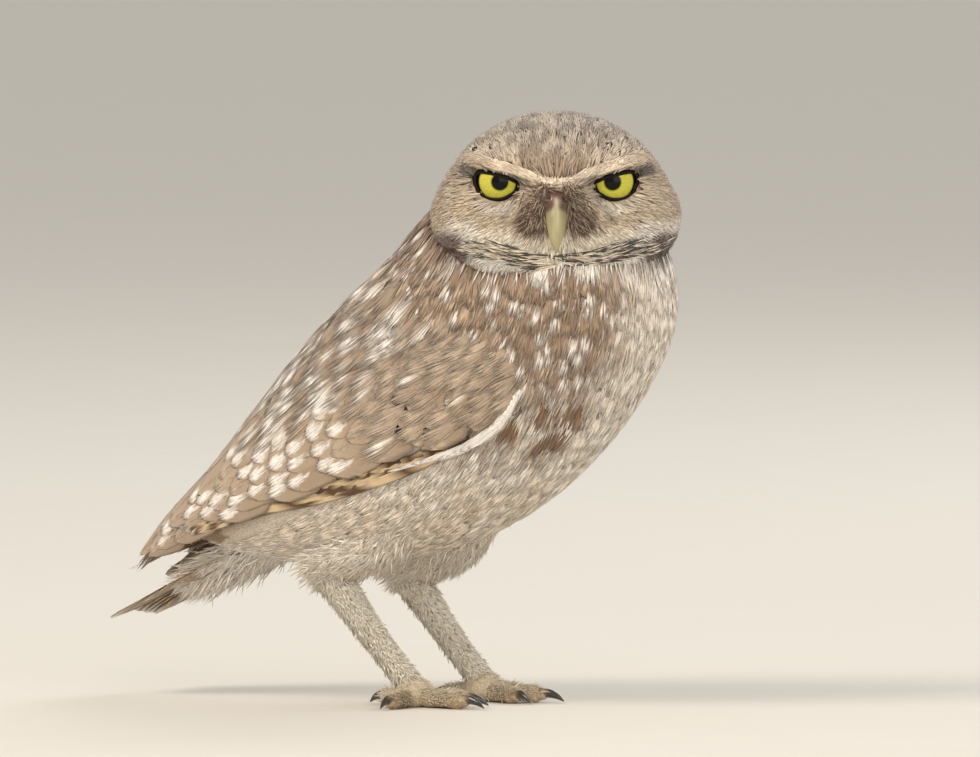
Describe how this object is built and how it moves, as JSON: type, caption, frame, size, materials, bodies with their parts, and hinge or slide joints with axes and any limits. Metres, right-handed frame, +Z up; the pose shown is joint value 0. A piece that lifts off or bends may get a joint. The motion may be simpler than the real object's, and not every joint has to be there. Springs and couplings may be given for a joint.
{
  "type": "burrowing owl",
  "caption": "Life-size still model of a standing burrowing owl with folded wings and its head turned to its right, on bare feet.",
  "frame": {"origin": "on the floor, under the middle of the whole owl", "axes": "+X is the way the body faces, +Y is the owl's left, +Z is up; the face points to the owl's right and a little forwards"},
  "size_m": [0.1986, 0.0866, 0.192],
  "materials": {
    "plumage": "soft brown feathers with white spots and buff bars",
    "pale": "soft off-white down",
    "leg": "short cream feathering",
    "toe": "scaly grey-brown skin",
    "claw": "black-brown horn, satin",
    "bill": "pale olive-green horn, satin",
    "eye": "yellow iris with a black pupil under a clear glossy surface"
  },
  "bodies": {
    "root": {"torso": "plumage", "neck": "plumage", "head": "plumage", "eye_right": "eye", "eye_left": "eye", "bill_upper": "bill", "bill_lower": "bill", "wing_right": "plumage", "wing_left": "plumage", "tail": "plumage", "thigh_right": "pale", "tarsus_right": "leg", "foot_right": "toe", "claw_right_inner": "claw", "claw_right_middle": "claw", "claw_right_outer": "claw", "claw_right_hind": "claw", "thigh_left": "pale", "tarsus_left": "leg", "foot_left": "toe", "claw_left_inner": "claw", "claw_left_middle": "claw", "claw_left_outer": "claw", "claw_left_hind": "claw"}
  },
  "joints": []
}
